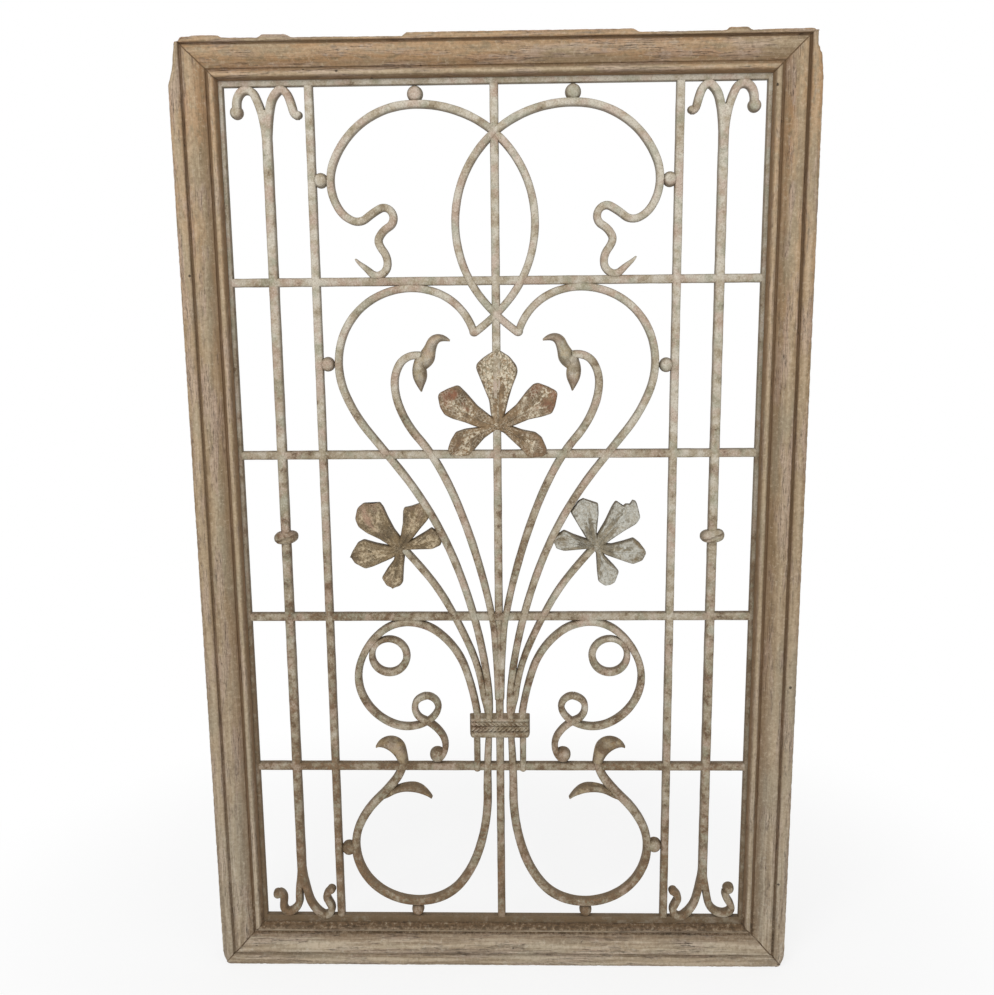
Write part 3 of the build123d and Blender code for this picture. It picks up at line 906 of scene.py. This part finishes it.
def tie():
    """One front surface on a grid of x and z: a low edge, then rolls that are half rounds."""
    x = np.linspace(-TIE_HALF, TIE_HALF, 241)[None, :]
    z = np.linspace(TIE_FOOT, TIE_TOP, 111)[:, None]
    height = np.full(np.broadcast_shapes(x.shape, z.shape), 9.0)
    shade = np.full(height.shape, 0.62)
    for middle, half, top, twist in TIE_ROLLS:
        arch = np.clip(1 - ((z - middle) / half) ** 2, 0, 1)
        strand = 0.5 + 0.5 * np.cos(2 * pi * (x + twist * 1.1 * (z - middle)) / CORD_PITCH)
        gap = abs(twist) * (1 - strand**0.6) * (1 + 0.3 * waver(x + 40 * twist, 7, 30))
        height = np.maximum(height, 10 + (top - 10) * arch**0.5 * (1 - 0.5 * gap))
        shade = np.maximum(shade, np.minimum(1, 1.35 * arch**0.22) * (1 - 0.14 * gap))
    corner = np.clip((abs(x) - (TIE_HALF - 5.5)) / 5.5, 0, 1)
    rounded = np.sqrt(1 - corner**2)
    height = height * np.sqrt(np.clip(1.04 - corner**2, 0, 1))
    z = TIE_MIDDLE + (z - TIE_MIDDLE) * (1 - 0.26 * (1 - rounded))
    shade = shade * (1 - corner**3)
    flat_x, flat_z = np.broadcast_arrays(x, z)
    plane = flat_back()
    front = np.stack([flat_x, plane - height, flat_z], -1)
    ends = front[:, [-1, 0]] * (1, 0, 1) + (0, plane, 0)
    shade = np.concatenate([shade, np.zeros((len(shade), 2))], 1)
    return skin(np.concatenate([front, ends], 1), front=shade)


make_piece("tie", [tie()], bar_paint)

# %% [markdown]
# ## Timber frame
# Four lengths of the same moulding, mitred at the corners. The section is drawn once, from the
# outer edge to the edge of the opening, and carried along each side. At a mitre a point that lies
# further in stops sooner, so one product gives both slanting ends.

# %% The moulding's section
SIGHT_WIDTH = 69
REBATE_WIDTH = 58
LIP = 21.7


def arc_points(centre, radius, start, end, count):
    """Points on an arc between two angles in degrees."""
    angle = np.radians(np.linspace(start, end, count))
    return np.stack([centre[0] + radius * np.cos(angle), centre[1] + radius * np.sin(angle)], -1)


def moulding_section():
    """Distance in from the outer edge and depth behind the front, once round the section."""
    wave = np.linspace(0, 1, 19)
    cyma = np.stack([23.5 + 29 * wave, 1.2 + 11.3 * (0.5 - 0.5 * np.cos(pi * wave))], -1)
    runs = [
        [(0, DEPTH_OF_FRAME - 1), (0, 38), (0, 28), (0, 18), (0, 10)],
        arc_points((4, 4), 4, 180, 270, 5),
        [(6, 0), (8.5, 0), (11, 0), (13.5, 0), (16, 0), (17.6, 0.3), (18.2, 1)],
        [(18.5, 3), (19, 4.7), (20.4, 5), (21.8, 4.7), (22.3, 3), (22.8, 1.8)],
        cyma,
        [(52.8, 13.6), (53.4, 14.6), (55.5, 14.8), (56.4, 14.4)],
        arc_points((61, 14.5), 4.5, 190, 355, 9),
        [(66.6, 16), (68, 17.8), (SIGHT_WIDTH, 19), (SIGHT_WIDTH, LIP), (64, LIP)],
        [(REBATE_WIDTH, depth) for depth in (LIP, 30, 40, DEPTH_OF_FRAME - 1)],
        [(distance, DEPTH_OF_FRAME) for distance in (REBATE_WIDTH - 1, 44, 30, 15, 1)],
    ]
    return np.concatenate([np.array(run, float) for run in runs])


section = moulding_section()
print("moulding section:", len(section), "points")

# %% [markdown]
# ## Wear of the timber
# The outer band of the frame is broken along the top and sloped at two corners. Its width is
# squeezed there: a point of the band moves in by what is missing, in proportion to how near the
# outer edge it is, so the band keeps its rounded edge as real worn timber does.

# %% Outline that is left
# Each pair: the place along a side, and what is missing there.
TOP_WEAR = np.array([
    (-470, 47), (-463, 18), (-455.5, 17), (-454.5, 11), (-440, 10.5), (-437, 9), (-400, 9),
    (-396, 12.5), (-341, 13.5), (-335, 9), (-302, 9), (-292, 13.5), (-131, 14.5), (-125, 9),
    (203, 9), (210, 14), (335, 13.5), (340, 9), (366, 9), (372, 13.5), (420, 12.5), (460, 12),
    (463, 17), (466, 14.5), (468, 16), (470, 45),
])
LEFT_WEAR = np.array([
    (0, 16), (3, 9), (8, 4.5), (15, 1.5), (24, 0), (1428, 0), (1448, 7), (1488, 13), (1505, 15),
])
RIGHT_WEAR = np.array([
    (0, 15), (3, 9), (8, 4.5), (15, 1.5), (24, 0), (1425, 0), (1455, 3), (1466, 5), (1469, 9.5),
    (1491, 10), (1505, 10.5),
])
NO_WEAR = np.array([(-500, 0), (500, 0)])
BAND = 18.2
HEIGHT = 1505  # as made
print("worn height:", HEIGHT - TOP_WEAR[:, 1].min())


# %% One member
def member(length, wear, seed):
    """The section carried along X: X = part * (half length - distance in), its depth unchanged."""
    distance, depth = section.T
    near_ends = 1 - np.array([0.8, 2, 3.2]) / (length / 2)
    steps = [np.linspace(-1, 1, int(length / 3.5)), near_ends, -near_ends]
    part = np.sort(np.concatenate(steps))[:, None]
    along = part * (length / 2 - 0.2 - distance)
    ragged = 0.9 * abs(waver(along, seed + 5, 45)) * np.exp(-distance / 6)
    missing = np.minimum(np.interp(along, *wear.T) + ragged, BAND - 3)
    squeezed = missing + (BAND - missing) * distance / BAND
    inward = np.where(distance < BAND, squeezed, distance)
    on_front = (depth < 21)[None, :]
    sag = 0.35 * waver(along + 3 * distance, seed, 260)
    sag += 0.25 * waver(along * 0.4 + 9 * distance, seed + 1, 60)
    chipped = 1.2 * abs(waver(along, seed + 2, 34)) * bell(distance, 3, 5)
    chipped += 0.8 * abs(waver(along, seed + 3, 50)) * bell(distance, 17, 2)
    return along, inward, depth + np.where(on_front, sag + chipped + 0.5, 0)


def inside_outline(x, z):
    """The points moved to the worn outline where they lie outside it."""
    left = -HALF_WIDTH + np.interp(z, *LEFT_WEAR.T)
    right = HALF_WIDTH - np.interp(z, *RIGHT_WEAR.T)
    x = np.clip(x, left, right)
    return x, np.minimum(z, HEIGHT - np.interp(x, *TOP_WEAR.T))


# %% Dirt, wear and painted light on the timber
def dirt_on(along, length, groove, spread, quirk, sill):
    """Grime with painted shade: 1 in the mitres, the given shares in the groove and the quirk,
    painted shade in the deep part of the cyma, at the sight edge and on the faces behind the front,
    and 0 on the open faces. Groove holds the share at the start and at the end of the member,
    spread its half width. Sill is the share on the bead, where earth lies on the bottom rail."""
    distance, depth = section.T
    in_groove = np.interp(along, (-length / 2, length / 2), groove) * bell(distance, 20.4, spread)
    hollows = 0.42 * bell(distance, 48, 6) + quirk * bell(distance, 54.5, 2.8)
    hollows = hollows + 0.9 * bell(distance, 68.5, 3.6) + sill * bell(distance, 63, 4) + in_groove
    # Painted shade: the faces behind the front, in the rebate and at the back, get 0.6.
    shade = np.where(depth > 20, 0.6, np.clip(hollows, 0, 1))
    from_mitre = length / 2 - distance - abs(along)
    return np.maximum(shade, bell(from_mitre, 0, 1.4))


def rubbed(along):
    """1 on the ridges: the bead, the cyma's shoulder, the band. They get a painted highlight,
    with some wear.
    """
    distance = section[:, 0]
    ridges = bell(distance, 61, 3) + 0.7 * bell(distance, 32, 6) + 0.8 * bell(distance, 11, 5)
    return np.broadcast_to(ridges, along.shape)


# %% A rail or a stile
def rail_or_stile(name, length, wear, seed, dirt, turn, finish):
    """A member built flat, then laid on its side of the frame by turn."""
    along, inward, deep = member(length, wear, seed)
    x, z = inside_outline(*turn(along, inward))
    rings = np.stack([x, deep, z], -1)
    distance = np.broadcast_to(section[:, 0], along.shape)
    grain = np.stack([along + seed * 1000, distance, deep], -1) / 1000
    shell = skin(rings, grain=grain, dirt=dirt_on(along, length, *dirt), rubbed=rubbed(along))
    make_piece(name + "_timber", [shell], finish, node=name, crease=38)


# %% [markdown]
# ## Weathered timber
# Bare softwood that stood outside goes grey brown, with darker streaks between the harder lines
# of grain, dirt and painted shade in the hollows, a painted highlight on the ridges, and fine
# cracks. Each member carries its own directions, along and across, so the streaks run with it and
# not with the world.

# %% Timber finish
def weathered_timber(name):
    """Tones along the grain, then the clouds, wear with a painted highlight, grime with painted
    shade, cracks and earth that lie on them.
    """
    finish = Finish(name)
    grain = finish.mark("grain", "Vector")
    dirt = finish.mark("dirt")
    drifting = finish.warped(grain, 14, 0.004)
    streak = finish.noise(1, finish.stretch(drifting, (8, 190, 110)), 5, 0.6)
    fibre = finish.noise(1, finish.stretch(grain, (40, 900, 500)), 4, 0.65)
    line = finish.noise(1, finish.stretch(drifting, (13, 420, 260)), 3, 0.6)
    cloud = finish.noise(1, finish.stretch(grain, (5, 24, 24)), 3)
    blush = finish.noise(1, finish.stretch(grain, (11, 60, 60)), 4)
    blotch = finish.noise(1, finish.stretch(grain, (60, 130, 130)), 5, 0.65)
    mottle = finish.noise(210, finish.place(), 4, 0.7)
    crumbs = finish.noise(150, finish.place(), 6, 0.75)
    flakes = finish.noise(120, finish.place(), 5, 0.7).above(0.56, 0.64)
    sideways, height_here = finish.part_of(finish.place(), 0), finish.part_of(finish.place(), 2)
    high_up = 0.1 + 0.9 * height_here.above(0.9, 1.45)
    low_down = (1 - height_here).above(0.5, 1.0)
    shady = (1.4 - height_here).above(0.2, 0.9) * 0.2 + sideways.above(0, 0.1) * 0.1
    orange = (1 - cloud).above(0.36, 0.54) * blotch.above(0.38, 0.54) * high_up
    # Soil with painted shade: it follows the mark of dirt and shade into the hollows.
    soil_and_shade = (dirt * 0.95 + blotch * 0.9 - 0.45).above(0.05, 0.9)
    soil_and_shade_tone = finish.mix(blush, (74, 56, 36), (128, 98, 66))
    crack = abs(line - 0.5).above(0.014, 0.0) * blush.above(0.47, 0.6)
    hole = finish.cells(26, grain, "F1").above(0.07, 0.03) * cloud.above(0.52, 0.56)
    sill = dirt.above(0.3, 0.6) * (1 - height_here).above(0.86, 0.94)
    base = finish.coats(
        finish.ramp(
            streak * 0.45 + fibre * 0.15 + blotch * 0.4,
            (0.35, (108, 86, 60)), (0.44, (136, 114, 84)), (0.51, (157, 135, 106)),
            (0.58, (178, 157, 129)), (0.68, (204, 187, 164)),
        ),
        (cloud.above(0.46, 0.62) * 0.5 * (1.2 - high_up), (146, 140, 120)),
        (blush.above(0.48, 0.62) * 0.66, (180, 156, 140)),
        (abs(sideways).above(0.38, 0.42) * shady, (106, 86, 62)),
        (orange * 0.62, (172, 130, 88)),
        ((1 - height_here).above(0.2, 1.0) * 0.42, (162, 151, 136)),
        # Painted highlight, with some wear, on the ridges.
        (finish.mark("rubbed") * 0.34, (208, 190, 160)),
        (flakes * low_down * 0.3, (204, 198, 182)),
        (streak.above(0.5, 0.6) * low_down * 0.5, (192, 178, 156)),
        ((1 - streak).above(0.5, 0.6) * low_down * 0.4, (110, 92, 68)),
        # Dirt and painted shade in the hollows and at the sight edge.
        (dirt.above(0.1, 0.6) * 0.3, (122, 98, 66)),
        (mottle.above(0.5, 0.64) * 0.35, (112, 92, 68)),
        ((1 - mottle).above(0.54, 0.66) * 0.35, (204, 188, 164)),
        (soil_and_shade * 0.9, soil_and_shade_tone),
        (crack * (0.35 + 0.35 * low_down), (66, 50, 34)),
        (hole * 0.85, (52, 40, 28)),
        (crumbs.above(0.54, 0.64) * sill * 0.5, (186, 174, 150)),
        ((1 - crumbs).above(0.48, 0.58) * sill * 0.75, (72, 58, 40)),
    )
    height = (
        fibre * 0.5 + streak * 0.7 + blotch * 0.5 + crumbs * sill * 1.6
        - crack * 0.9 - hole * 2
    )
    return finish.done(base, 0.8 + 0.15 * fibre, height, 0.0014)


timber = weathered_timber("weathered_timber")
middle = HEIGHT / 2
MEMBERS = [  # name, length, wear, seed, the shares of dirt and painted shade, and the place from along and inward
    ("bottom_rail", 2 * HALF_WIDTH, NO_WEAR, 1, ((0.2, 0.25), 2.5, 0.45, 0.55),
     lambda along, inward: (along, inward)),
    ("top_rail", 2 * HALF_WIDTH, TOP_WEAR, 2, ((0.5, 1.0), 2.8, 0.4, 0),
     lambda along, inward: (along, HEIGHT - inward)),
    ("left_stile", HEIGHT, LEFT_WEAR - (middle, 0), 3, ((0.45, 0.75), 3.4, 0.8, 0),
     lambda along, inward: (inward - HALF_WIDTH, along + middle)),
    ("right_stile", HEIGHT, RIGHT_WEAR - (middle, 0), 4, ((0.6, 1.0), 3.4, 0.8, 0),
     lambda along, inward: (HALF_WIDTH - inward, along + middle)),
]
for member_values in MEMBERS:
    rail_or_stile(*member_values, timber)

# %% [markdown]
# ## Nails
# The CAD nails have the right shape, so they stay and only get a finish.

# %% Nail finish
nail_rust = Finish("nail_rust")
spots = nail_rust.noise(400, nail_rust.place(), 4)
brown = nail_rust.ramp(spots, (0.35, (70, 52, 38)), (0.65, (128, 88, 58)))
nail_iron = nail_rust.done(brown, 0.9, spots, 0.0004)
for name in ("grille_nails", "corner_nails"):
    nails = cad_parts[name]
    for nail_slot in nails.material_slots:
        nail_slot.material = nail_iron

# %% [markdown]
# ## Floor and light
# A pale floor fades into the white background. Two broad soft lamps in front, the stronger one
# above, and a white world light the panel evenly, as in a studio.

# %% Floor
floor_mesh = bpy.data.meshes.new("floor")
floor_mesh.from_pydata([(-40, -6, 0), (40, -6, 0), (40, 60, 0), (-40, 60, 0)], [], [(0, 1, 2, 3)])
floor = bpy.data.objects.new("floor", floor_mesh)
bpy.context.collection.objects.link(floor)

WHITE = (255, 255, 255)
LIGHT_GREY = (238.6, 238.6, 238.6)
pale = Finish("studio_white")
plain = pale.node("ShaderNodeEmission", None, {"Color": WHITE, "Strength": 1.0})
matt = pale.node("ShaderNodeBsdfDiffuse", None, {"Color": LIGHT_GREY})
place = pale.place()
away = (pale.part_of(place, 0) ** 2 + pale.part_of(place, 1) ** 2).above(0.2, 1.4)
pale.surface(pale.seen() * (0.8 + 0.2 * away), matt, plain)
floor_mesh.materials.append(pale.owner)

# %% Sky and lamps
sky = Finish("studio", "worlds")
bpy.context.scene.world = sky.owner
light, backdrop = [
    sky.node("ShaderNodeBackground", None, {"Color": WHITE, "Strength": strength})
    for strength in (0.62, 1.0)
]
sky.surface(sky.seen(), light, backdrop)


def lamp(name, place, target, size, power):
    """A square soft lamp that faces a point."""
    data = bpy.data.lights.new(name, "AREA")
    data.shape = "SQUARE"
    data.size = size
    data.energy = power
    item = bpy.data.objects.new(name, data)
    item.location = place
    item.rotation_euler = (Vector(target) - Vector(place)).to_track_quat("-Z", "Y").to_euler()
    bpy.context.collection.objects.link(item)


lamp("key", (-1.2, -2.6, 2.9), (0, 0, 0.8), 1.6, 52)
lamp("fill", (2.2, -2.8, 1.4), (0, 0, 0.7), 2.0, 20)

# %% [markdown]
# ## Camera
# The photograph was taken above the middle and a little to the right, tilted down by about
# eleven degrees. Three turns and the place were fitted to the frame's side edges, the uprights
# and the crossbars.

# %% Camera
CAMERA_PLACE = (0.04192, -1.6548, 1.12136)
FOCAL_LENGTH, PICTURE_HEIGHT = 1066, 995  # pixels
SENSOR = 36  # millimetres
yaw, pitch, roll = radians(-1.487), radians(10.756), radians(-0.560)
right = np.array([np.cos(yaw), -np.sin(yaw), 0])
ahead = np.array([np.sin(yaw) * np.cos(pitch), np.cos(yaw) * np.cos(pitch), -np.sin(pitch)])
above = np.cross(right, ahead)
side = np.cos(roll) * right + np.sin(roll) * above
top = np.cos(roll) * above - np.sin(roll) * right
camera_data = bpy.data.cameras.new("camera")
camera_data.lens = SENSOR * FOCAL_LENGTH / PICTURE_HEIGHT
camera_data.sensor_width = SENSOR
camera = bpy.data.objects.new("camera", camera_data)
axes = Matrix(np.stack([side, top, -ahead], 1).tolist()).to_4x4()
camera.matrix_world = Matrix.Translation(CAMERA_PLACE) @ axes
bpy.context.collection.objects.link(camera)
bpy.context.scene.camera = camera
bpy.context.scene.view_settings.view_transform = "Standard"
print("camera:", CAMERA_PLACE, "lens", round(camera_data.lens, 2))
